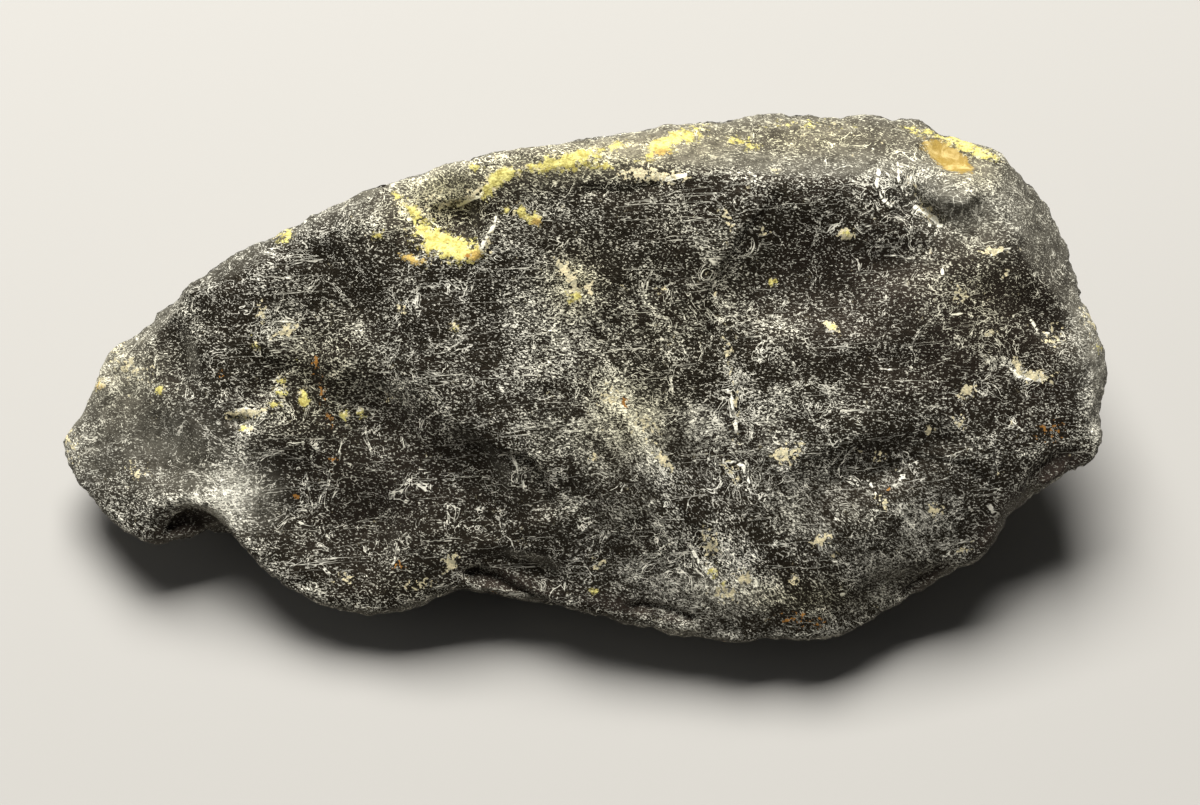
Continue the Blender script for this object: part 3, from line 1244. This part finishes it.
def crust(name, ragged, spread, soft):
    """Where a deposit covers the glass: its soft attribute, torn to crumbs by noise."""
    torn = math_step("MULTIPLY", math_step("SUBTRACT", ragged, 0.5), spread)
    cover = ramp(math_step("ADD", torn, painted[name]), 0.5, 0.5 + soft)
    return math_step("MULTIPLY", cover, ramp(painted[name], 0.04, 0.2))


shares = {
    "yellow": crust("yellow", ragged_one, spread=3.4, soft=0.4),
    "amber": crust("amber", ragged_two, spread=1.6, soft=0.35),
    "cream": crust("cream", crumbly, spread=3.4, soft=0.18),
    "rust": crust("rust", crumbly_two, spread=3.0, soft=0.12),
}
loose_crumbs = math_step("MULTIPLY", ramp(ragged_three, 0.645, 0.69), painted["film"])
shares["cream"] = math_step("MAXIMUM", shares["cream"], loose_crumbs)
covered = shares["yellow"]
for name in ("amber", "cream", "rust"):
    covered = math_step("MAXIMUM", covered, shares[name])
print("nodes so far:", len(tree.nodes))

# %% [markdown]
# ## Colour
#
# The colours go on in the order in which they came: glass, veil, etched marks, rust, cream, yellow and
# amber. Each deposit has a deep and a pale tone, because dried clay is darker in its cracks. The etched
# marks are nearly white on clean glass and cream under a film of clay.

# %% Glass, veil and marks
BLACK_GLASS = srgb("#16130d")
THIN_GLASS = srgb("#2f2823")
ETCH_VEIL = srgb("#8b887c")
FILMED_VEIL = srgb("#98907a")
ETCHED_PALE = srgb("#f4f0e2")
FILMED_PALE = srgb("#f3ebc2")

colour = blend(painted["bare"], BLACK_GLASS, THIN_GLASS)
veil_share = math_step("MULTIPLY", painted["veil"], ramp(clump_fine, 0.3, 0.65, 0.35, 1.0), clamp=True)
colour = blend(veil_share, colour, blend(painted["film"], ETCH_VEIL, FILMED_VEIL))
colour = blend(etched, colour, blend(painted["film"], ETCHED_PALE, FILMED_PALE))
print("nodes so far:", len(tree.nodes))

# %% Clay and rust
RUST_BROWN = srgb("#8f6430")
CREAM = srgb("#d9cba2")
CREAM_GREY = srgb("#a39c80")
YELLOW = srgb("#d1c87b")
YELLOW_DEEP = srgb("#988b48")
OCHRE = srgb("#c6a75e")
OCHRE_DEEP = srgb("#927a44")
AMBER = srgb("#8c7438")
AMBER_PALE = srgb("#b5a068")
AMBER_SWELL = 1.6  # mm

tone = ramp(math_step("ADD", ragged_two, math_step("MULTIPLY", grit_tone, 0.4)), 0.56, 0.84)
lemon = blend(tone, YELLOW_DEEP, YELLOW)
tan = blend(tone, OCHRE_DEEP, OCHRE)
amber_swells = swells(face_plan, AMBER_SWELL, detail=3.0, roughness=0.6, distortion=0.8)
amber_tone = ramp(amber_swells[0], 0.42, 0.66)
colour = blend(shares["rust"], colour, RUST_BROWN)
colour = blend(shares["cream"], colour, blend(tone, CREAM_GREY, CREAM))
colour = blend(shares["yellow"], colour, blend(ramp(painted["ochre"], 0.1, 0.6), lemon, tan))
colour = blend(shares["amber"], colour, blend(amber_tone, AMBER, AMBER_PALE))
tree.links.new(colour, shader.inputs["Base Color"])
print("nodes so far:", len(tree.nodes))

# %% [markdown]
# ## Roughness and fine bumps
#
# Clean tektite glass would gleam, but this one is etched all over, so even its darkest parts are only half
# smooth. Clay is chalky, apart from the amber patch, which has a skin. Grit and the torn edges of the clay
# are too fine for the mesh, so they are a bump in the material, and the larger relief above is real.

# %% Roughness and bumps
GLASS_ROUGHNESS = 0.5
ETCH_ROUGHNESS = 0.7
CLAY_ROUGHNESS = 0.92
AMBER_ROUGHNESS = 0.4
GRIT_SHARE = 0.6
BUMP_STRENGTH = 0.8
BUMP_DEPTH = 0.15 * MM

worn = math_step("MAXIMUM", etched, painted["veil"], clamp=True)
rough = blend_number(worn, GLASS_ROUGHNESS, ETCH_ROUGHNESS)
rough = blend_number(covered, rough, CLAY_ROUGHNESS)
rough = blend_number(shares["amber"], rough, AMBER_ROUGHNESS)
tree.links.new(rough, shader.inputs["Roughness"])
height = math_step("ADD", math_step("MULTIPLY", grit, GRIT_SHARE), ragged_one)
bump = add_node(
    tree,
    "ShaderNodeBump",
    {"Strength": BUMP_STRENGTH, "Distance": BUMP_DEPTH},
    {"Height": height},
)
tree.links.new(bump.outputs["Normal"], shader.inputs["Normal"])
stone.data.materials.append(glass)
print("nodes in the material:", len(tree.nodes))

# %% [markdown]
# ## Table
#
# A plain matt sheet of paper, wide enough to fill the view. It is a mid grey, because the light is bright
# enough to turn a white sheet into a glare. It lies a hair below the stone's flat, so that the two don't
# share a plane.

# %% Floor
FLOOR_HALF = 900 * MM
FLOOR_GAP = 0.02 * MM

paper = bmesh.new()
bmesh.ops.create_grid(paper, x_segments=2, y_segments=2, size=FLOOR_HALF)
bmesh.ops.translate(paper, vec=(0, 0, low.z - FLOOR_GAP), verts=paper.verts)
paper_mesh = bpy.data.meshes.new("studio_floor")
paper.to_mesh(paper_mesh)
paper.free()
floor = bpy.data.objects.new("studio_floor", paper_mesh)
bpy.context.scene.collection.objects.link(floor)
matte = bpy.data.materials.new("matte_paper")
matte.use_nodes = True
matte.node_tree.nodes["Principled BSDF"].inputs["Base Color"].default_value = srgb("#98958f")
matte.node_tree.nodes["Principled BSDF"].inputs["Roughness"].default_value = 0.9
floor.data.materials.append(matte)
print("floor width, m:", 2 * FLOOR_HALF)

# %% [markdown]
# ## Light
#
# One large soft light stands behind and above the stone and rakes over its bevelled top edge, as a window
# would. A weak fill from the front left and a faint sky keep the shadow side readable.

# %% Lights
WINDOW_WATTS = 18.0
FILL_WATTS = 0.5
LIGHT_SIZE = 0.5
WINDOW_PLACE = (-0.08, 0.37, 0.68)
FILL_PLACE = (-0.72, -0.08, 0.34)
SKY_STRENGTH = 0.08


def soft_light(name, watts, size, position):
    """A square area light that faces the stone."""
    data = bpy.data.lights.new(name, "AREA")
    data.energy = watts
    data.shape = "SQUARE"
    data.size = size
    lamp = bpy.data.objects.new(name, data)
    lamp.location = position
    lamp.rotation_euler = (Vector(middle) - Vector(position)).to_track_quat("-Z", "Y").to_euler()
    bpy.context.scene.collection.objects.link(lamp)


soft_light("window", WINDOW_WATTS, LIGHT_SIZE, WINDOW_PLACE)
soft_light("fill", FILL_WATTS, LIGHT_SIZE, FILL_PLACE)
sky = bpy.data.worlds.new("studio")
sky.use_nodes = True
sky.node_tree.nodes["Background"].inputs["Color"].default_value = srgb("#e9ebee")
sky.node_tree.nodes["Background"].inputs["Strength"].default_value = SKY_STRENGTH
bpy.context.scene.world = sky
bpy.context.scene.view_settings.view_transform = "Standard"

# %% [markdown]
# ## Hand the stone over
#
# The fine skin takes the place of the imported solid, belongs to its only body and fills its one material
# slot. The boxes before and after are kept, to show that the relief hasn't made the stone larger.

# %% Hand over
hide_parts("tektite")
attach(stone, "root")
